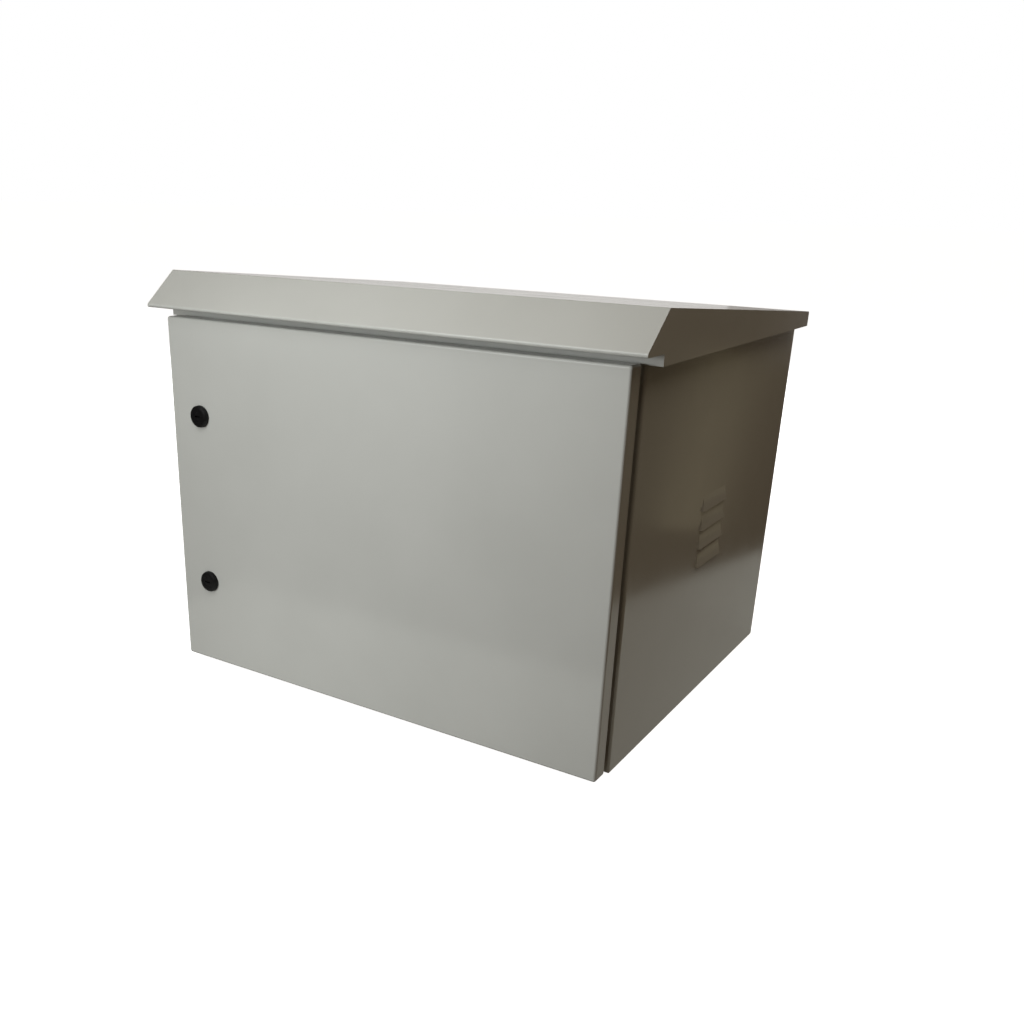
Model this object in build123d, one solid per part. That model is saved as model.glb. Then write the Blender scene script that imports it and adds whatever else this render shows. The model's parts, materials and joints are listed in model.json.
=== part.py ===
from build123d import *
import os
from math import atan2, cos

# Outdoor wall-mount cabinet for 19-inch equipment. Millimetres, +Z up, front towards -Y.
# The origin is the centre of the wall fixing holes, on the wall plane at the back.

# Body shell of folded and welded steel sheet
width = 600.0
depth = 500.0
height = 450.0
sheet = 1.5
bend = 1.5
weld_round = 1.2
overrun = 5.0

# Front gutter fold and the seal that closes on its lip
gutter = 23.0
door_gap = 14.0
seal_thickness = 9.0
seal_width = 10.0
seal_round = 3.5
seal_gap = 0.3

# Door pan
door_depth = 21.0
door_head_gap = 7.5
door_rise = 5.0
door_return = 10.0
door_corner = 3.2

# Concealed hinges
hinge_inset = 8.0
hinge_lip_gap = 0.7
hinge_height = 40.0
hinge_end = 65.0
hinge_plate = 3.0
hinge_eye = 4.5
hinge_pin = 2.5
hinge_head = 4.0
hinge_head_thickness = 1.5
hinge_leg = 15.0
leaf_inner = 9.0
leaf_outer = 4.5
door_eye_share = 0.34
running_gap = 0.05
side_play = 0.3

# Quarter-turn locks
lock_inset = 47.0
lock_drop = 114.3
lock_lift = 111.0
lock_head = 13.2
lock_head_thickness = 6.2
lock_head_round = 3.6
lock_face_recess = 0.4
lock_barrel = 10.0
lock_barrel_gap = 6.0
lock_hole_gap = 0.25
lock_nut_flats = 24.0
lock_nut_thickness = 6.0
lock_core = 7.0
key_slot = 9.0
key_slot_width = 2.0
key_slot_depth = 3.0
cam_thickness = 3.0
cam_width = 16.0
cam_reach = 36.0
cam_gap = 0.7
tenon = 8.0
tenon_gap = 0.1
cam_bolt = 3.0
cam_bolt_depth = 12.0
cam_bolt_flats = 12.0
cam_bolt_head = 4.0

# Louvres pressed in the side walls
louvre_count = 4
louvre_pitch = 23.0
louvre_length = 75.0
louvre_reach = 3.5
louvre_rise = 17.0
louvre_hollow = 0.8
louvre_low_slit = 181.3

# Roof hood
roof_overhang = 18.6
roof_rear_gap = 12.4
roof_rear_rise = 8.5
ridge_rise = 43.0
ridge_forward = 2.5
fascia_reach = 48.5
fascia_bend = 1.0
return_rise = 2.0
skirt_gap = 6.5
skirt_drop = 9.5

# Bearers under the roof hood
bearer_offset = 180.0
bearer_end_gap = 30.0
bearer_flange = 24.0
bearer_bolt_inset = 60.0

# 19-inch rails and the supports that carry them
rack_unit = 44.45
rack_units = 8
rack_hole_shares = (1 / 7, 1 / 2, 6 / 7)
rack_hole = 9.5
rack_hole_inset = 7.55
rail_wall_gap = 75.0
rail_sheet = 2.0
rail_front_leg = 24.5
rail_side_leg = 40.0
rail_end = 5.0
rail_setback = 70.0
rail_rear_gap = 100.0
rail_adjustment = 50.0
support_height = 40.0
support_lip = 14.0
support_end_gap = 40.0

# Filters behind the louvres
filter_margin = 14.0
filter_depth = 12.0
filter_rim = 10.0
filter_tab = 16.0
filter_play = 0.5
filter_stud = 2.0

# Cable entry in the bottom
gland_length = 240.0
gland_width = 60.0
gland_setback = 110.0
gland_margin = 18.0
gland_plate_thickness = 2.0
gland_gasket_thickness = 3.0
gland_stud = 2.5
grommet_count = 3
grommet_pitch = 72.0
grommet_neck = 18.0
grommet_flange = 22.0
grommet_flange_thickness = 2.0

# Wall fixing
wall_spacing_x = 400.0
wall_inset_z = 50.0
wall_hole = 5.0
strip_thickness = 3.0
strip_height = 50.0
strip_end_gap = 20.0

# Fasteners
rail_bolt = 3.0
roof_bolt = 3.0
bolt_hole_gap = 0.3
thread_gap = 0.05
flats_per_radius_share = 3.4
head_per_radius_share = 1.3
nut_per_radius_share = 1.7
stud_past_nut = 2.0

# Earth studs
earth_stud = 4.0
earth_stud_length = 26.0
earth_inset_x = 60.0
earth_setback = 90.0
door_earth_stud = 3.0
door_earth_length = 16.0
door_earth_inset = 70.0
earth_nut_seat = 8.0

# Planes of the body
side = width / 2
front = -depth
top = height / 2
bottom = -top
inner_side = side - sheet
inner_top = top - sheet
wall_spacing_z = height - 2 * wall_inset_z

# Planes of the door and of the seal
door_rear = front - door_gap
door_front = door_rear - door_depth
door_inside = door_front + sheet
door_low = bottom + door_rise
door_high = top - door_head_gap
lip_front = door_inside + seal_thickness + seal_gap

# Hinge axis and the middle heights of the hinges and locks
hinge_x = side - hinge_inset
hinge_y = lip_front + hinge_lip_gap + hinge_plate / 2
hinge_heights = {"upper": door_high - hinge_end, "lower": door_low + hinge_end}
door_eye_height = hinge_height * door_eye_share
lock_x = lock_inset - side
lock_heights = {"upper": door_high - lock_drop, "lower": door_low + lock_lift}
lock_barrel_length = front - lock_barrel_gap - door_front
cam_front = front + sheet + cam_gap

# Louvre field
louvre_slits = [bottom + louvre_low_slit + i * louvre_pitch for i in range(louvre_count)]
louvre_field_top = louvre_slits[-1] + louvre_rise
louvre_field_middle = (louvre_slits[0] + louvre_field_top) / 2
louvre_field_height = louvre_field_top - louvre_slits[0]
mid_depth = front / 2

# Rails, with the 19-inch opening between them
rack_opening = width - 2 * rail_wall_gap
rack_hole_spacing = rack_opening + 2 * rack_hole_inset
rail_outer = rack_opening / 2 + rail_front_leg
rail_half_length = rack_units * rack_unit / 2 + rail_end
rail_faces = {"front": front + rail_setback, "rear": -rail_rear_gap}
rail_bolt_places = {
    "front": rail_faces["front"] + rail_side_leg / 2,
    "rear": rail_faces["rear"] - rail_side_leg / 2,
}
support_middle = rail_half_length - support_height / 2

# Cable entry
gland_floor = bottom + sheet
gland_seat = gland_floor + gland_gasket_thickness
gland_top = gland_seat + gland_plate_thickness
grommet_xs = [(i - (grommet_count - 1) / 2) * grommet_pitch for i in range(grommet_count)]

# Roof
roof_side = side + roof_overhang
roof_rear = -roof_rear_gap
roof_rear_top = top + roof_rear_rise
ridge_y = front - ridge_forward
ridge_z = top + ridge_rise
roof_low = top - skirt_drop
roof_return = top + return_rise
skirt_front = front - skirt_gap
roof_slope = (ridge_z - roof_rear_top) / (roof_rear - ridge_y)
roof_points = [
    (roof_rear, top),
    (roof_rear, roof_rear_top),
    (ridge_y, ridge_z),
    (ridge_y - fascia_reach, roof_return),
    (skirt_front, roof_return),
    (skirt_front, roof_low),
]
roof_bends = [bend, bend, fascia_bend, bend]


def block(low, high):
    """Box between two opposite corners."""
    size = [b - a for a, b in zip(low, high)]
    middle = [(a + b) / 2 for a, b in zip(low, high)]
    return Pos(*middle) * Box(*size)


def rod(start, direction, radius, length):
    """Round bar from a point along a direction."""
    return extrude(Plane(start, z_dir=direction) * Circle(radius), length)


def hexagon(start, direction, flats, length):
    """Hexagonal bar from a point along a direction."""
    outline = RegularPolygon(flats / 2, side_count=6, major_radius=False)
    return extrude(Plane(start, z_dir=direction) * outline, length)


def nut(start, direction, radius):
    """Hexagon nut on a thread of the given radius, seated at a point."""
    body = hexagon(start, direction, radius * flats_per_radius_share, radius * nut_per_radius_share)
    return body - rod(start, direction, radius + thread_gap, radius * nut_per_radius_share)


def bolt(start, direction, radius, grip):
    """Hexagon-head bolt whose head sits at a point and whose shank runs along a direction."""
    away = Vector(direction) * -1
    head = hexagon(start, away, radius * flats_per_radius_share, radius * head_per_radius_share)
    return head + rod(start, direction, radius, grip)


def outline_face(points):
    """Flat face inside straight edges."""
    return make_face(Polyline(*points, close=True))


def folded_paths(points, bends):
    """The two faces of a folded sheet: one along the points, the other one sheet to their left."""
    corners = [Vector(*point) for point in points]
    runs = [(b - a).normalized() for a, b in zip(corners, corners[1:])]
    lefts = [Vector(-run.Y, run.X) for run in runs]
    backs = [corners[0] + lefts[0] * sheet]
    given_radii = []
    back_radii = []
    for i, radius in enumerate(bends):
        before, after = lefts[i], lefts[i + 1]
        backs.append(corners[i + 1] + (before + after) * (sheet / (1 + before.dot(after))))
        turns_left = before.dot(runs[i + 1]) > 0
        given_radii.append(radius + sheet if turns_left else radius)
        back_radii.append(radius if turns_left else radius + sheet)
    backs.append(corners[-1] + lefts[-1] * sheet)
    return FilletPolyline(*corners, radius=given_radii), FilletPolyline(*backs, radius=back_radii)


def folded_face(points, bends):
    """Cross-section of a folded sheet."""
    given, back = folded_paths(points, bends)
    return make_face([given, back, Line(given @ 0, back @ 0), Line(given @ 1, back @ 1)])


def left_of(shape):
    """The same piece on the left side."""
    return mirror(shape, about=Plane.YZ)


def gutter_panel(half_span, half_run):
    """One wall of the shell with its front folded in and then forward as a sealing lip.

    The wall faces +X at half_span, runs along Z, and is mitred at 45 degrees at both ends.
    """
    lip = half_span - gutter
    fold_line = [(lip, lip_front), (lip, front), (half_span, front), (half_span, 0)]
    section = folded_face(fold_line, [bend, bend])
    strip = extrude(section, half_run, both=True)
    mitre = 2 * gutter
    wedge = outline_face([
        (half_span, -half_run),
        (half_span, half_run),
        (half_span - mitre, half_run - mitre),
        (half_span - mitre, mitre - half_run),
    ])
    ground = RectangleRounded(2 * half_span, 2 * half_run, weld_round)
    return strip & extrude(Plane.XZ * (wedge & ground), 2 * depth, both=True)


def louvre_scoop(length):
    """Scoop that swells out of the plane x = 0 and is open along z = 0, with rounded ends."""
    flank = SagittaArc((0, louvre_rise), (louvre_reach, 0), -louvre_hollow)
    profile = Plane.XZ * make_face([flank, Line((louvre_reach, 0), (0, 0)), Line((0, 0), (0, louvre_rise))])
    dome = revolve(profile, Axis.Z)
    half = length / 2
    scoop = extrude(profile, half, both=True) + Pos(0, half, 0) * dome + Pos(0, -half, 0) * dome
    reach_all = half + 2 * louvre_reach
    return scoop & block((0, -reach_all, 0), (2 * louvre_reach, reach_all, louvre_rise))


def side_panel():
    """Right side wall with its louvres, hollow behind by the same scoop one sheet further in."""
    panel = gutter_panel(side, top)
    outer = louvre_scoop(louvre_length)
    inner = Pos(-sheet, 0, 0) * louvre_scoop(louvre_length - 2 * sheet)
    places = [Pos(side, mid_depth, slit) for slit in louvre_slits]
    panel = panel + [place * outer for place in places]
    return panel - [place * inner for place in places]


def gland_places():
    """Centres of the studs round the cable entry."""
    across = gland_width / 2 + gland_margin / 2
    along = gland_length / 2 + gland_margin / 2
    middle = -gland_setback
    return [(i * along, middle + j * across) for i in (-1, 1) for j in (-1, 1)]


def roof_bolt_places():
    """Centres of the bolts that hold the roof bearers."""
    middle_of_flange = bearer_offset + sheet + (bearer_flange - sheet) / 2
    ends = (front + bearer_bolt_inset, roof_rear - bearer_bolt_inset)
    return [(i * middle_of_flange, y) for i in (-1, 1) for y in ends]


def top_panel():
    panel = Rot(0, -90, 0) * gutter_panel(top, side)
    radius = roof_bolt + bolt_hole_gap
    return panel - [rod((x, y, inner_top), (0, 0, 1), radius, sheet) for x, y in roof_bolt_places()]


def bottom_panel():
    panel = Rot(0, 90, 0) * gutter_panel(top, side)
    middle = -gland_setback
    entry = block(
        (-gland_length / 2, middle - gland_width / 2, bottom - overrun),
        (gland_length / 2, middle + gland_width / 2, bottom + overrun),
    )
    return panel - entry


def wall_holes(start, length):
    """Bores of the wall fixing pattern."""
    return [
        rod((i * wall_spacing_x / 2, start, j * wall_spacing_z / 2), (0, 1, 0), wall_hole, length)
        for i in (-1, 1)
        for j in (-1, 1)
    ]


def rear_panel():
    panel = block((-inner_side, -sheet, -inner_top), (inner_side, 0, inner_top))
    return panel - wall_holes(-sheet, sheet)


def wall_strip(level):
    """Stiffening strip behind a row of wall fixing holes."""
    reach = inner_side - strip_end_gap
    seat = -sheet
    strip = block(
        (-reach, seat - strip_thickness, level - strip_height / 2),
        (reach, seat, level + strip_height / 2),
    )
    return strip - wall_holes(seat - strip_thickness, strip_thickness)


def roof_hood():
    """Folded hood with a falling top, a sloped fascia and a front skirt, closed by two end plates."""
    given, _ = folded_paths(roof_points, roof_bends)
    strip = extrude(Plane.YZ * folded_face(roof_points, roof_bends), roof_side, both=True)
    low_rear = (roof_rear, roof_low)
    outline = make_face([given, Line(given @ 1, low_rear), Line(low_rear, given @ 0)])
    plate = extrude(Plane.YZ * outline, sheet)
    return strip + Pos(roof_side - sheet, 0, 0) * plate + Pos(-roof_side, 0, 0) * plate


def roof_underside(y):
    """Height of the hood's inner face above a place on the top sheet."""
    lean = cos(atan2(ridge_z - roof_rear_top, roof_rear - ridge_y))
    return ridge_z - (y - ridge_y) * roof_slope - sheet / lean


def roof_bearer():
    """Folded bearer with a foot on the top sheet and a flange under the sloped hood."""
    start = front + bearer_end_gap
    end = roof_rear - bearer_end_gap
    web_outline = [(start, top), (end, top), (end, roof_underside(end)), (start, roof_underside(start))]
    cap_outline = [
        (start, roof_underside(start) - sheet),
        (end, roof_underside(end) - sheet),
        (end, roof_underside(end)),
        (start, roof_underside(start)),
    ]
    web = extrude(Plane.YZ * outline_face(web_outline), sheet)
    cap = extrude(Plane.YZ * outline_face(cap_outline), bearer_flange)
    foot = block((0, start, top), (bearer_flange, end, top + sheet))
    bearer = Pos(bearer_offset, 0, 0) * (web + cap + foot)
    holes = [rod((x, y, top), (0, 0, 1), roof_bolt + bolt_hole_gap, sheet) for x, y in roof_bolt_places()]
    return bearer - holes


def rail_support(level):
    """Hat-section bar on the right side wall, slotted so that the rails can be set in depth."""
    half = support_height / 2
    web = rail_outer + sheet
    section = folded_face(
        [
            (inner_side, level - half - support_lip),
            (inner_side, level - half),
            (web, level - half),
            (web, level + half),
            (inner_side, level + half),
            (inner_side, level + half + support_lip),
        ],
        [bend, bend, bend, bend],
    )
    start = front + support_end_gap
    end = -support_end_gap
    bar = Pos(0, end, 0) * extrude(Plane.XZ * section, end - start)
    slot = SlotOverall(rail_adjustment, 2 * (rail_bolt + bolt_hole_gap))
    cutter = extrude(Plane((rail_outer, 0, level), x_dir=(0, 1, 0), z_dir=(1, 0, 0)) * slot, sheet)
    return bar - [Pos(0, place, 0) * cutter for place in rail_bolt_places.values()]


def folded_face_of_rail(inner, face, inwards):
    """Cross-section of an angle rail with a rounded fold."""
    tail = face + inwards * rail_side_leg
    back = face + inwards * rail_sheet
    near = FilletPolyline((inner, face), (rail_outer, face), (rail_outer, tail), radius=bend + rail_sheet)
    web = rail_outer - rail_sheet
    far = FilletPolyline((inner, back), (web, back), (web, tail), radius=bend)
    return make_face([near, far, Line(near @ 0, far @ 0), Line(near @ 1, far @ 1)])


def rack_rail(where):
    """Right-hand rail of 19-inch spacing with a square hole in every rack position."""
    inwards = 1 if where == "front" else -1
    face = rail_faces[where]
    inner = rack_opening / 2
    section = folded_face_of_rail(inner, face, inwards)
    rail = extrude(section, rail_half_length, both=True)
    first = -rack_units * rack_unit / 2
    places = [unit + share for unit in range(rack_units) for share in rack_hole_shares]
    hole = Box(rack_hole, 2 * rail_sheet, rack_hole)
    rail = rail - [Pos(rack_hole_spacing / 2, face, first + place * rack_unit) * hole for place in places]
    bolt_start = (rail_outer - rail_sheet, rail_bolt_places[where], 0)
    bolt_hole = rod(bolt_start, (1, 0, 0), rail_bolt + bolt_hole_gap, rail_sheet)
    return rail - [Pos(0, 0, level) * bolt_hole for level in (-support_middle, support_middle)]


def rail_fixings():
    """Bolts and nuts that hold the rails on their supports."""
    grip = rail_sheet + sheet + rail_bolt * nut_per_radius_share + stud_past_nut
    places = [(y, level) for y in rail_bolt_places.values() for level in (-support_middle, support_middle)]
    seat = rail_outer - rail_sheet
    bolts = [bolt((seat, y, level), (1, 0, 0), rail_bolt, grip) for y, level in places]
    nuts = [nut((rail_outer + sheet, y, level), (1, 0, 0), rail_bolt) for y, level in places]
    return Compound(bolts + [left_of(b) for b in bolts]), Compound(nuts + [left_of(n) for n in nuts])


def roof_fixings():
    """Bolts from inside the cabinet and the weld nuts that they turn into."""
    grip = 2 * sheet + roof_bolt * nut_per_radius_share + stud_past_nut
    bolts = [bolt((x, y, inner_top), (0, 0, 1), roof_bolt, grip) for x, y in roof_bolt_places()]
    nuts = [nut((x, y, top + sheet), (0, 0, 1), roof_bolt) for x, y in roof_bolt_places()]
    return Compound(bolts), Compound(nuts)


def filter_sizes():
    """Half length and half height of the filter mat."""
    return louvre_length / 2 + louvre_reach + filter_margin, louvre_field_height / 2 + filter_margin


def filter_stud_places():
    half_y, _ = filter_sizes()
    along = half_y + filter_play + sheet + filter_tab / 2
    return [(mid_depth + i * along, louvre_field_middle) for i in (-1, 1)]


def filter_frame():
    """Tray that holds a filter mat against the right wall, with a window and two tabs."""
    half_y, half_z = filter_sizes()
    hold_y = half_y + filter_play
    hold_z = half_z + filter_play
    face = inner_side - filter_depth - sheet
    place = Pos(0, mid_depth, louvre_field_middle)
    tray = block((face, -hold_y - sheet, -hold_z - sheet), (inner_side, hold_y + sheet, hold_z + sheet))
    pocket = block((face + sheet, -hold_y, -hold_z), (inner_side, hold_y, hold_z))
    open_y = half_y - filter_rim
    open_z = half_z - filter_rim
    window = block((face, -open_y, -open_z), (face + sheet, open_y, open_z))
    tab_end = hold_y + sheet + filter_tab
    tabs = block((inner_side - sheet, -tab_end, -hold_z), (inner_side, tab_end, hold_z))
    frame = place * (tray + tabs - pocket - window)
    radius = filter_stud + bolt_hole_gap
    seat = inner_side - sheet
    return frame - [rod((seat, y, z), (1, 0, 0), radius, sheet) for y, z in filter_stud_places()]


def filter_mat():
    half_y, half_z = filter_sizes()
    mat = block((inner_side - filter_depth, -half_y, -half_z), (inner_side, half_y, half_z))
    return Pos(0, mid_depth, louvre_field_middle) * mat


def filter_fixings():
    """Weld studs on the side walls and their nuts."""
    length = sheet + filter_stud * nut_per_radius_share + stud_past_nut
    studs = [rod((inner_side, y, z), (-1, 0, 0), filter_stud, length) for y, z in filter_stud_places()]
    nuts = [nut((inner_side - sheet, y, z), (-1, 0, 0), filter_stud) for y, z in filter_stud_places()]
    return Compound(studs + [left_of(s) for s in studs]), Compound(nuts + [left_of(n) for n in nuts])


def gland_outline(low, thickness):
    """Flat piece round the cable entry, with its stud holes."""
    outline = Rectangle(gland_length + 2 * gland_margin, gland_width + 2 * gland_margin)
    piece = Pos(0, -gland_setback, low) * extrude(outline, thickness)
    radius = gland_stud + bolt_hole_gap
    return piece - [rod((x, y, low), (0, 0, 1), radius, thickness) for x, y in gland_places()]


def gland_plate():
    plate = gland_outline(gland_seat, gland_plate_thickness)
    hole = extrude(Circle(grommet_neck), gland_plate_thickness)
    return plate - [Pos(x, -gland_setback, gland_seat) * hole for x in grommet_xs]


def gland_gasket():
    opening = extrude(Rectangle(gland_length, gland_width), gland_gasket_thickness)
    opening = Pos(0, -gland_setback, gland_floor) * opening
    return gland_outline(gland_floor, gland_gasket_thickness) - opening


def gland_fixings():
    length = gland_top - gland_floor + gland_stud * nut_per_radius_share + stud_past_nut
    studs = [rod((x, y, gland_floor), (0, 0, 1), gland_stud, length) for x, y in gland_places()]
    nuts = [nut((x, y, gland_top), (0, 0, 1), gland_stud) for x, y in gland_places()]
    return Compound(studs), Compound(nuts)


def cable_grommets():
    """Closed grommets with a dished underside, snapped into the gland plate."""
    flange = grommet_flange_thickness
    plate = gland_plate_thickness
    section = outline_face([
        (0, plate),
        (grommet_neck - flange, -flange),
        (grommet_flange, -flange),
        (grommet_flange, 0),
        (grommet_neck, 0),
        (grommet_neck, plate),
        (grommet_flange, plate),
        (0, plate + flange),
    ])
    grommet = revolve(Plane.XZ * section, Axis.Z)
    return Compound([Pos(x, -gland_setback, gland_seat) * grommet for x in grommet_xs])


def earth_fixing():
    """Weld stud on the bottom sheet and its nut, held a little up for a cable lug."""
    foot = (side - earth_inset_x, front + earth_setback, gland_floor)
    stud = rod(foot, (0, 0, 1), earth_stud, earth_stud_length)
    seat = (foot[0], foot[1], gland_floor + earth_nut_seat)
    collar = rod(foot, (0, 0, 1), earth_stud * flats_per_radius_share / 2, earth_nut_seat)
    return stud + collar, nut(seat, (0, 0, 1), earth_stud)


def door_earth_fixing():
    """Weld stud on the inside of the door and its nut."""
    foot = (hinge_x - door_earth_inset, door_inside, door_low + door_earth_inset)
    stud = rod(foot, (0, 1, 0), door_earth_stud, door_earth_length)
    collar = rod(foot, (0, 1, 0), door_earth_stud * flats_per_radius_share / 2, earth_nut_seat)
    seat = (foot[0], door_inside + earth_nut_seat, foot[2])
    return stud + collar, nut(seat, (0, 1, 0), door_earth_stud)


def door_panel():
    """Folded pan with rounded front edges, return flanges on three sides and two lock holes."""
    pan = block((-side, door_front, door_low), (side, door_rear, door_high))
    pan = fillet(pan.edges().filter_by(Axis.Y), door_corner)
    pan = fillet(pan.faces().sort_by(Axis.Y)[0].edges(), bend + sheet)
    low = door_low + sheet
    high = door_high - sheet
    cavity = block((-inner_side, door_inside, low), (inner_side, door_rear + overrun, high))
    cavity = fillet(cavity.edges().filter_by(Axis.Y), door_corner - sheet)
    cavity = fillet(cavity.faces().sort_by(Axis.Y)[0].edges(), bend)
    lip = door_rear - sheet
    returns = [
        block((-inner_side, lip, low), (inner_side, door_rear, door_low + door_return)),
        block((-inner_side, lip, door_high - door_return), (inner_side, door_rear, high)),
        block((-inner_side, lip, low), (door_return - side, door_rear, high)),
    ]
    outline = RectangleRounded(2 * side, door_high - door_low, door_corner)
    envelope = extrude(Plane.XZ * outline, 2 * depth, both=True)
    envelope = Pos(0, 0, (door_low + door_high) / 2) * envelope
    pan = pan - cavity + [piece & envelope for piece in returns]
    hole_radius = lock_barrel + lock_hole_gap
    hole = rod((lock_x, door_front, 0), (0, 1, 0), hole_radius, sheet)
    return pan - [Pos(0, 0, level) * hole for level in lock_heights.values()]


def door_gasket():
    """Foam seal inside the door, opposite the sealing lip of the body, with mitred corners."""
    line_x = side - gutter - sheet / 2
    line_z = top - gutter - sheet / 2
    outer = Rectangle(2 * line_x + seal_width, 2 * line_z + seal_width)
    inner = Rectangle(2 * line_x - seal_width, 2 * line_z - seal_width)
    seal = Pos(0, door_inside, 0) * extrude(Plane.XZ * (outer - inner), -seal_thickness)
    return fillet(seal.faces().sort_by(Axis.Y)[-1].edges(), seal_round)


def hinge_bracket(level):
    """Bracket on the outside of the sealing lip, with two eyes."""
    lip = side - gutter
    half = hinge_height / 2
    thin = hinge_plate / 2
    leg = block((lip, hinge_y - thin, -half), (lip + hinge_plate, hinge_y - thin + hinge_leg, half))
    arm = block((lip, hinge_y - thin, -half), (hinge_x, hinge_y + thin, half))
    eye = rod((hinge_x, hinge_y, -half), (0, 0, 1), hinge_eye, hinge_height)
    gap = door_eye_height / 2 + side_play
    room = block((lip + hinge_plate, hinge_y - 2 * hinge_eye, -gap), (side, hinge_y + 2 * hinge_eye, gap))
    bore = rod((hinge_x, hinge_y, -half), (0, 0, 1), hinge_pin + running_gap, hinge_height)
    return Pos(0, 0, level) * (leg + arm + eye - room - bore)


def hinge_leaf(level):
    """Leaf on the inside of the door, with one eye between the bracket's two."""
    half = hinge_height / 2
    thin = hinge_plate / 2
    low = door_eye_height / 2
    foot = block(
        (hinge_x - leaf_inner, door_inside, -half),
        (hinge_x + leaf_outer, door_inside + hinge_plate, half),
    )
    web = block((hinge_x - thin, door_inside, -low), (hinge_x + thin, hinge_y, low))
    eye = rod((hinge_x, hinge_y, -low), (0, 0, 1), hinge_eye, door_eye_height)
    bore = rod((hinge_x, hinge_y, -low), (0, 0, 1), hinge_pin + running_gap, door_eye_height)
    return Pos(0, 0, level) * (foot + web + eye - bore)


def hinge_pin_piece(level):
    """Headed pin that hangs in the bracket's upper eye."""
    half = hinge_height / 2
    shank = rod((hinge_x, hinge_y, level - half), (0, 0, 1), hinge_pin, hinge_height)
    return shank + rod((hinge_x, hinge_y, level + half), (0, 0, 1), hinge_head, hinge_head_thickness)


def lock_body(level):
    """Round head in front of the door and a barrel through it."""
    head = rod((lock_x, door_front, level), (0, -1, 0), lock_head, lock_head_thickness)
    head = fillet(head.faces().sort_by(Axis.Y)[0].edges(), lock_head_round)
    barrel = rod((lock_x, door_front, level), (0, 1, 0), lock_barrel, lock_barrel_length)
    length = lock_head_thickness + lock_barrel_length
    face = door_front - lock_head_thickness
    bore = rod((lock_x, face, level), (0, 1, 0), lock_core + running_gap, length)
    return head + barrel - bore


def lock_nut(level):
    body = hexagon((lock_x, door_inside, level), (0, 1, 0), lock_nut_flats, lock_nut_thickness)
    return body - rod((lock_x, door_inside, level), (0, 1, 0), lock_barrel + thread_gap, lock_nut_thickness)


def lock_core_piece(level):
    """Turning core with a key slot in front and a square tenon for the cam."""
    face = door_front - lock_head_thickness + lock_face_recess
    core = rod((lock_x, face, level), (0, 1, 0), lock_core, cam_front - face)
    slot = block(
        (lock_x - key_slot / 2, face, level - key_slot_width / 2),
        (lock_x + key_slot / 2, face + key_slot_depth, level + key_slot_width / 2),
    )
    square = block(
        (lock_x - tenon / 2, cam_front, level - tenon / 2),
        (lock_x + tenon / 2, cam_front + cam_thickness, level + tenon / 2),
    )
    seat = cam_front + cam_thickness
    thread = rod((lock_x, seat, level), (0, -1, 0), cam_bolt + thread_gap, cam_bolt_depth)
    return core - slot + square - thread


def lock_cam(level):
    """Flat cam that hangs down when unlocked and turns behind the front fold when locked."""
    swing = cam_reach - cam_width / 2
    blade = Pos(0, -swing / 2) * SlotCenterToCenter(swing, cam_width, rotation=90)
    drive = Rectangle(tenon + 2 * tenon_gap, tenon + 2 * tenon_gap)
    return Pos(lock_x, cam_front, level) * extrude(Plane.XZ * (blade - drive), -cam_thickness)


def cam_bolt_piece(level):
    seat = (lock_x, cam_front + cam_thickness, level)
    head = hexagon(seat, (0, 1, 0), cam_bolt_flats, cam_bolt_head)
    return head + rod(seat, (0, -1, 0), cam_bolt, cam_bolt_depth)


nodes = {}
nodes["side_panel_right"] = side_panel()
nodes["top_panel"] = top_panel()
nodes["bottom_panel"] = bottom_panel()
nodes["rear_panel"] = rear_panel()
nodes["wall_strip_upper"] = wall_strip(wall_spacing_z / 2)
nodes["wall_strip_lower"] = wall_strip(-wall_spacing_z / 2)
nodes["roof_hood"] = roof_hood()
nodes["roof_bearer_right"] = roof_bearer()
nodes["roof_bolts"], nodes["roof_weld_nuts"] = roof_fixings()
nodes["rail_support_upper_right"] = rail_support(support_middle)
nodes["rail_support_lower_right"] = rail_support(-support_middle)
nodes["rack_rail_front_right"] = rack_rail("front")
nodes["rack_rail_rear_right"] = rack_rail("rear")
nodes["rail_bolts"], nodes["rail_nuts"] = rail_fixings()
nodes["filter_frame_right"] = filter_frame()
nodes["filter_mat_right"] = filter_mat()
nodes["filter_studs"], nodes["filter_nuts"] = filter_fixings()
nodes["gland_plate"] = gland_plate()
nodes["gland_gasket"] = gland_gasket()
nodes["gland_studs"], nodes["gland_nuts"] = gland_fixings()
nodes["cable_grommets"] = cable_grommets()
nodes["earth_stud"], nodes["earth_nut"] = earth_fixing()
nodes["door_panel"] = door_panel()
nodes["door_gasket"] = door_gasket()
nodes["door_earth_stud"], nodes["door_earth_nut"] = door_earth_fixing()
for name in [name for name in nodes if name.endswith("_right")]:
    nodes[name.replace("_right", "_left")] = left_of(nodes[name])
for where, level in hinge_heights.items():
    nodes[f"hinge_bracket_{where}"] = hinge_bracket(level)
    nodes[f"hinge_leaf_{where}"] = hinge_leaf(level)
    nodes[f"hinge_pin_{where}"] = hinge_pin_piece(level)
for where, level in lock_heights.items():
    nodes[f"lock_body_{where}"] = lock_body(level)
    nodes[f"lock_nut_{where}"] = lock_nut(level)
    nodes[f"lock_core_{where}"] = lock_core_piece(level)
    nodes[f"lock_cam_{where}"] = lock_cam(level)
    nodes[f"cam_bolt_{where}"] = cam_bolt_piece(level)

os.makedirs("parts", exist_ok=True)
for name, piece in nodes.items():
    export_step(piece, f"parts/{name}.step")
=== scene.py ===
import json

import bpy
from mathutils import Matrix, Vector


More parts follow.
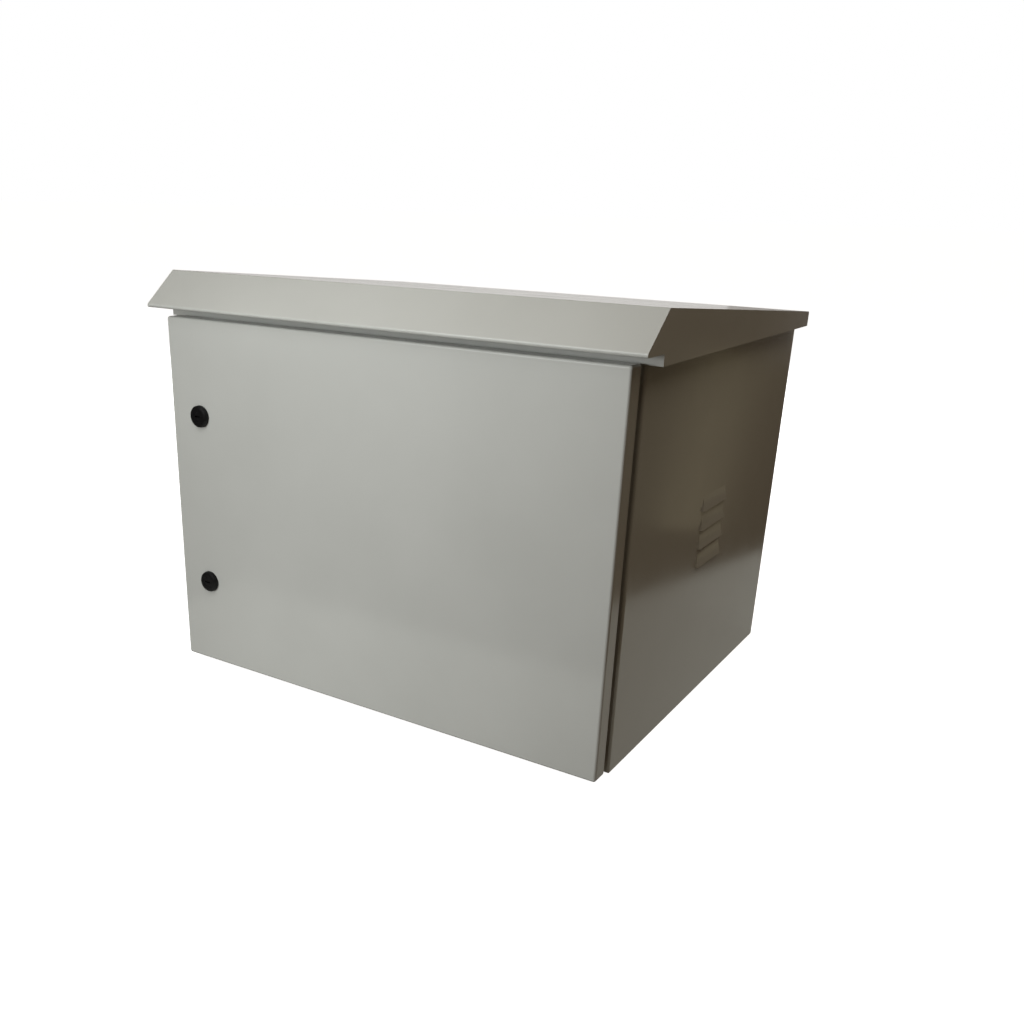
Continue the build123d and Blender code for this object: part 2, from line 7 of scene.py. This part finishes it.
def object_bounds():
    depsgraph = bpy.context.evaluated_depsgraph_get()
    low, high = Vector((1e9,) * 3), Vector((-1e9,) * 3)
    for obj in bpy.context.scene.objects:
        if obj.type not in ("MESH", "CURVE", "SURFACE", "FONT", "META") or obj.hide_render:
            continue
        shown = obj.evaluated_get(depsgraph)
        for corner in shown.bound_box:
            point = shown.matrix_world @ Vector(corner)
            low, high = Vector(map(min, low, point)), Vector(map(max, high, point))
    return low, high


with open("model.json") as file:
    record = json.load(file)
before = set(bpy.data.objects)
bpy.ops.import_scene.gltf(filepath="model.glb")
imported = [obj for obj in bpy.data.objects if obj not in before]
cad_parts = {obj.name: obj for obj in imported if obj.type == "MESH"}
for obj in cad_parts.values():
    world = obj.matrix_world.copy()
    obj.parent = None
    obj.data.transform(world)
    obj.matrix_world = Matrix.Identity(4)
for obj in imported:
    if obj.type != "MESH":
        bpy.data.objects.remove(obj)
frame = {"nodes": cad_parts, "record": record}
cad_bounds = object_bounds()
floor_level = cad_bounds[0][2]

# Camera, fitted to the edges in the photograph: metres, and pixels of a 1024 pixel frame
CAMERA_PLACE = Vector((0.67948, -1.44615, 0.35102))
CAMERA_RIGHT = Vector((0.84049, 0.54122, 0.02576))
CAMERA_UP = Vector((-0.2205, 0.2982, 0.9287))
FRAME_PIXELS = 1024
FRAME_MIDDLE = 0.5
FOCAL_PIXELS = 1045.5
CENTRE_PIXELS = (445.4, 619.8)
SENSOR_MM = 36.0
CLIP_START = 0.01

# Floor and room: metres and scene-linear colours
WHITE = (1, 1, 1)
BLACK = (0, 0, 0)
FLOOR_REACH = 60.0
FLOOR_GLOW = 0.97
STAGE_ROUGHNESS = 0.9
ROOM_COLOUR = (0.055, 0.0395, 0.0245)

# Key lamp above and before the door: metres and watts, as for all lamps
LAMP_COLOUR = (0.98, 1.0, 0.995)
KEY_PLACE = Vector((-0.05, -0.96, 0.535))
KEY_AIM = Vector((0.0, -0.535, 0.05))
KEY_SIZE = 0.6
KEY_WATTS = 2.3

# Fill lamp far in front on the left
FILL_PLACE = Vector((-1.0, -3.0, 0.42))
FILL_AIM = Vector((0.0, -0.535, 0.2))
FILL_SIZE = 0.5
FILL_WATTS = 27.0

# Bounce lamp low before the door
BOUNCE_PLACE = Vector((-0.1, -0.9, -0.21))
BOUNCE_AIM = Vector((0.0, -0.535, 0.0))
BOUNCE_SIZE = 0.5
BOUNCE_WATTS = 0.34

# Warm top lamp high above on the right
TOP_PLACE = Vector((1.15, -0.25, 2.05))
TOP_AIM = Vector((0.3, -0.25, 0.0))
TOP_SIZE = 2.0
TOP_WATTS = 9.3
TOP_COLOUR = (1.0, 0.87, 0.70)

# Rear lamp behind on the left
REAR_PLACE = Vector((-1.6, 2.2, 0.7))
REAR_AIM = Vector((0.0, -0.25, 0.0))
REAR_SIZE = 0.8
REAR_WATTS = 62.0

# Bench cards on the floor's level, beside the right wall and before the door: corners in metres
BENCH_COLOUR = (0.98, 1.0, 0.93)
BENCH_GLOW = 0.40
BENCH_CORNERS = (
    (0.30, -1.0), (0.63, -0.55), (0.514, 0.0),
    (0.411, 0.415), (0.37, 0.6), (0.30, 0.6),
)
FRONT_GLOW = 0.45
FRONT_CORNERS = ((-0.45, -0.79), (0.4, -0.79), (0.4, -0.54), (-0.45, -0.54))

# Aisle cards on the floor's level, behind on the right: glow, and corners in metres
AISLE_COLOUR = (1.0, 0.86, 0.55)
AISLE_STRIPS = (
    (0.25, ((0.53, 0.485), (0.62, 0.415), (1.55, 3.20), (1.33, 3.36))),
    (0.05, ((0.62, 0.415), (0.69, 0.36), (1.75, 3.05), (1.55, 3.20))),
)

# Wall cards behind the cabinet: left and right end in metres, and glow
WALL_BACK = 3.0
WALL_HEIGHT = 3.0
WALL_PANELS = ((-5.0, -2.0, 0.61), (-2.0, -0.77, 0.62), (-0.77, 1.0, 0.25))

# Materials: bump depth in metres, and the span of a texture's values that a ramp spreads
MICRON = 0.000001
RAMP_START = 0.3
RAMP_END = 0.7


def make_camera():
    """Camera at the photograph's viewpoint, with the photograph's off-centre crop."""
    data = bpy.data.cameras.new("camera")
    data.sensor_width = SENSOR_MM
    data.lens = FOCAL_PIXELS / FRAME_PIXELS * SENSOR_MM
    data.shift_x = FRAME_MIDDLE - CENTRE_PIXELS[0] / FRAME_PIXELS
    data.shift_y = CENTRE_PIXELS[1] / FRAME_PIXELS - FRAME_MIDDLE
    data.clip_start = CLIP_START
    camera = bpy.data.objects.new("camera", data)
    bpy.context.scene.collection.objects.link(camera)
    right = CAMERA_RIGHT.normalized()
    back = right.cross(CAMERA_UP).normalized()
    up = back.cross(right)
    turn = Matrix((right, up, back)).transposed().to_4x4()
    camera.matrix_world = Matrix.Translation(CAMERA_PLACE) @ turn
    bpy.context.scene.camera = camera


def stage_piece(name, corners, colour, glow, base=None):
    """Flat stage piece inside its corners; its base colour is its glow's colour unless given."""
    mesh = bpy.data.meshes.new(name)
    mesh.from_pydata(corners, [], [range(len(corners))])
    piece = bpy.data.objects.new(name, mesh)
    bpy.context.scene.collection.objects.link(piece)
    material = bpy.data.materials.new(name)
    material.use_nodes = True
    shader = material.node_tree.nodes["Principled BSDF"]
    shader.inputs["Base Color"].default_value = (*(base or colour), 1)
    shader.inputs["Roughness"].default_value = STAGE_ROUGHNESS
    shader.inputs["Emission Color"].default_value = (*colour, 1)
    shader.inputs["Emission Strength"].default_value = glow
    mesh.materials.append(material)
    return piece


def on_floor(outline):
    return [(x, y, floor_level) for x, y in outline]


def on_wall(left, right):
    ends = ((left, floor_level), (right, floor_level), (right, WALL_HEIGHT), (left, WALL_HEIGHT))
    return [(x, WALL_BACK, z) for x, z in ends]


def make_floor():
    """White floor that the camera sees and that leaves the shaded side of the cabinet dark."""
    square = ((-1, -1), (1, -1), (1, 1), (-1, 1))
    corners = on_floor([(x * FLOOR_REACH, y * FLOOR_REACH) for x, y in square])
    floor = stage_piece("floor", corners, WHITE, FLOOR_GLOW)
    floor.visible_diffuse = False
    floor.visible_glossy = False


def make_cards():
    """Bench, aisle and wall cards that only show as soft reflections."""
    cards = [
        stage_piece("bench_card", on_floor(BENCH_CORNERS), BENCH_COLOUR, BENCH_GLOW),
        stage_piece("front_card", on_floor(FRONT_CORNERS), BENCH_COLOUR, FRONT_GLOW),
    ]
    for glow, outline in AISLE_STRIPS:
        cards.append(stage_piece("aisle_card", on_floor(outline), AISLE_COLOUR, glow, base=BLACK))
    for left, right, glow in WALL_PANELS:
        cards.append(stage_piece("wall_card", on_wall(left, right), WHITE, glow))
    for card in cards:
        card.visible_camera = False
        card.visible_diffuse = False
        card.visible_shadow = False


def area_light(name, place, aim, size, watts, colour):
    """Round lamp at its place, turned to its aim."""
    data = bpy.data.lights.new(name, "AREA")
    data.shape = "DISK"
    data.size = size
    data.energy = watts
    data.color = colour
    light = bpy.data.objects.new(name, data)
    bpy.context.scene.collection.objects.link(light)
    turn = (place - aim).to_track_quat("Z", "Y").to_matrix().to_4x4()
    light.matrix_world = Matrix.Translation(place) @ turn
    return light


def make_lamps():
    """Five lamps, of which only the key and the top lamp show in reflections."""
    area_light("key", KEY_PLACE, KEY_AIM, KEY_SIZE, KEY_WATTS, LAMP_COLOUR)
    fill = area_light("fill", FILL_PLACE, FILL_AIM, FILL_SIZE, FILL_WATTS, LAMP_COLOUR)
    bounce = area_light("bounce", BOUNCE_PLACE, BOUNCE_AIM, BOUNCE_SIZE, BOUNCE_WATTS, LAMP_COLOUR)
    area_light("top", TOP_PLACE, TOP_AIM, TOP_SIZE, TOP_WATTS, TOP_COLOUR)
    rear = area_light("rear", REAR_PLACE, REAR_AIM, REAR_SIZE, REAR_WATTS, LAMP_COLOUR)
    for lamp in (fill, bounce, rear):
        lamp.visible_glossy = False


def make_room():
    """Dim warm room, white where the camera looks past the floor."""
    world = bpy.data.worlds.new("room")
    bpy.context.scene.world = world
    world.use_nodes = True
    nodes = world.node_tree.nodes
    links = world.node_tree.links
    output = nodes["World Output"]
    dim = nodes["Background"]
    dim.inputs["Color"].default_value = (*ROOM_COLOUR, 1)
    white = nodes.new("ShaderNodeBackground")
    white.inputs["Color"].default_value = (*WHITE, 1)
    path = nodes.new("ShaderNodeLightPath")
    mix = nodes.new("ShaderNodeMixShader")
    choice, for_others, for_camera = mix.inputs
    links.new(path.outputs["Is Camera Ray"], choice)
    links.new(dim.outputs["Background"], for_others)
    links.new(white.outputs["Background"], for_camera)
    links.new(mix.outputs["Shader"], output.inputs["Surface"])


class Finish:
    """Procedural material on object coordinates, with helpers for its nodes."""

    def __init__(self, name):
        self.material = bpy.data.materials.new(name)
        self.material.use_nodes = True
        self.nodes = self.material.node_tree.nodes
        self.links = self.material.node_tree.links
        self.shader = self.nodes["Principled BSDF"]
        self.place = self.nodes.new("ShaderNodeTexCoord").outputs["Object"]

    def set(self, **values):
        for name, value in values.items():
            self.shader.inputs[name.replace("_", " ")].default_value = value

    def noise(self, scale, detail=3.0, stretch=(1, 1, 1)):
        texture = self.nodes.new("ShaderNodeTexNoise")
        texture.inputs["Scale"].default_value = scale
        texture.inputs["Detail"].default_value = detail
        mapping = self.nodes.new("ShaderNodeMapping")
        mapping.inputs["Scale"].default_value = stretch
        self.links.new(self.place, mapping.inputs["Vector"])
        self.links.new(mapping.outputs["Vector"], texture.inputs["Vector"])
        return texture.outputs["Fac"]

    def cells(self, scale, output="Color"):
        texture = self.nodes.new("ShaderNodeTexVoronoi")
        texture.inputs["Scale"].default_value = scale
        self.links.new(self.place, texture.inputs["Vector"])
        return texture.outputs[output]

    def ramp(self, value, low, high):
        node = self.nodes.new("ShaderNodeMapRange")
        node.inputs["From Min"].default_value = RAMP_START
        node.inputs["From Max"].default_value = RAMP_END
        node.inputs["To Min"].default_value = low
        node.inputs["To Max"].default_value = high
        self.links.new(value, node.inputs["Value"])
        return node.outputs["Result"]

    def colour(self, value, first, second):
        node = self.nodes.new("ShaderNodeMix")
        node.data_type = "RGBA"
        node.inputs["A"].default_value = (*first, 1)
        node.inputs["B"].default_value = (*second, 1)
        self.links.new(self.ramp(value, low=0, high=1), node.inputs["Factor"])
        self.links.new(node.outputs["Result"], self.shader.inputs["Base Color"])

    def roughness(self, value, low, high):
        self.links.new(self.ramp(value, low, high), self.shader.inputs["Roughness"])

    def bump(self, *layers):
        """Layers of (height, depth in metres), from coarse to fine."""
        normal = None
        for value, depth in layers:
            node = self.nodes.new("ShaderNodeBump")
            node.inputs["Distance"].default_value = depth
            self.links.new(value, node.inputs["Height"])
            if normal:
                self.links.new(normal, node.inputs["Normal"])
            normal = node.outputs["Normal"]
        self.links.new(normal, self.shader.inputs["Normal"])


def powder_coat():
    """Light grey powder coat with a fine orange peel and a faint unevenness."""
    finish = Finish("powder_coat")
    finish.colour(finish.noise(scale=7), (0.530, 0.538, 0.512), (0.560, 0.568, 0.542))
    finish.roughness(finish.noise(scale=18), low=0.13, high=0.17)
    finish.bump((finish.noise(scale=900, detail=1), 6 * MICRON))
    return finish.material


def zinc_plating():
    """Bright zinc on turned and stamped steel."""
    finish = Finish("zinc_plating")
    finish.set(Metallic=0.6)
    finish.colour(finish.noise(scale=60), (0.62, 0.63, 0.63), (0.72, 0.72, 0.71))
    finish.roughness(finish.noise(scale=240), low=0.30, high=0.42)
    finish.bump((finish.noise(scale=900, detail=2), 5 * MICRON))
    return finish.material


def galvanised_sheet():
    """Galvanised sheet with a small spangle."""
    finish = Finish("galvanised_sheet")
    finish.set(Metallic=0.5)
    spangle = finish.cells(scale=170)
    finish.colour(spangle, (0.60, 0.61, 0.62), (0.70, 0.71, 0.71))
    finish.roughness(spangle, low=0.42, high=0.56)
    finish.bump((finish.noise(scale=420, detail=2), 8 * MICRON))
    return finish.material


def black_polyamide():
    """Black moulded plastic with a fine spark-eroded grain."""
    finish = Finish("black_polyamide")
    finish.set(Specular_IOR_Level=0.25)
    finish.colour(finish.noise(scale=300), (0.004, 0.004, 0.0045), (0.008, 0.008, 0.0085))
    finish.roughness(finish.noise(scale=500), low=0.48, high=0.60)
    finish.bump((finish.noise(scale=2200, detail=2), 30 * MICRON))
    return finish.material


def black_rubber():
    """Black moulded rubber, dull all over."""
    finish = Finish("black_rubber")
    finish.colour(finish.noise(scale=80), (0.018, 0.018, 0.018), (0.034, 0.034, 0.033))
    finish.roughness(finish.noise(scale=200), low=0.60, high=0.78)
    finish.bump((finish.noise(scale=1500, detail=2), 40 * MICRON))
    return finish.material


def cast_foam():
    """Dark cast foam with a closed, slightly pitted skin."""
    finish = Finish("cast_foam")
    finish.colour(finish.noise(scale=120), (0.030, 0.030, 0.032), (0.060, 0.060, 0.062))
    finish.roughness(finish.noise(scale=400), low=0.72, high=0.92)
    swell = finish.noise(scale=90, detail=2)
    pits = finish.cells(scale=1400, output="Distance")
    finish.bump((swell, 400 * MICRON), (pits, 120 * MICRON))
    return finish.material


def filter_fleece():
    """White needled fleece with crossing fibres."""
    finish = Finish("white_fleece")
    finish.set(Sheen_Weight=0.25)
    finish.colour(finish.noise(scale=180, detail=6), (0.66, 0.66, 0.62), (0.82, 0.82, 0.79))
    finish.roughness(finish.noise(scale=300), low=0.85, high=1.0)
    deep_fibres = finish.noise(scale=500, detail=5, stretch=(1, 0.2, 1))
    tall_fibres = finish.noise(scale=500, detail=5, stretch=(1, 1, 0.2))
    finish.bump((deep_fibres, 600 * MICRON), (tall_fibres, 600 * MICRON))
    return finish.material


def dress_nodes():
    """Every node takes the material of its slot in the record."""
    materials = {
        "shell_paint": powder_coat(),
        "zinc_plated_steel": zinc_plating(),
        "rail_steel": galvanised_sheet(),
        "lock_black": black_polyamide(),
        "seal_rubber": black_rubber(),
        "seal_foam": cast_foam(),
        "filter_fleece": filter_fleece(),
    }
    for part in frame["record"]["subparts"]:
        mesh = frame["nodes"][part["node"]].data
        mesh.materials.clear()
        mesh.materials.append(materials[part["material_slot"]])


make_camera()
make_room()
make_floor()
make_cards()
make_lamps()
dress_nodes()
bpy.context.scene.view_settings.view_transform = "Standard"
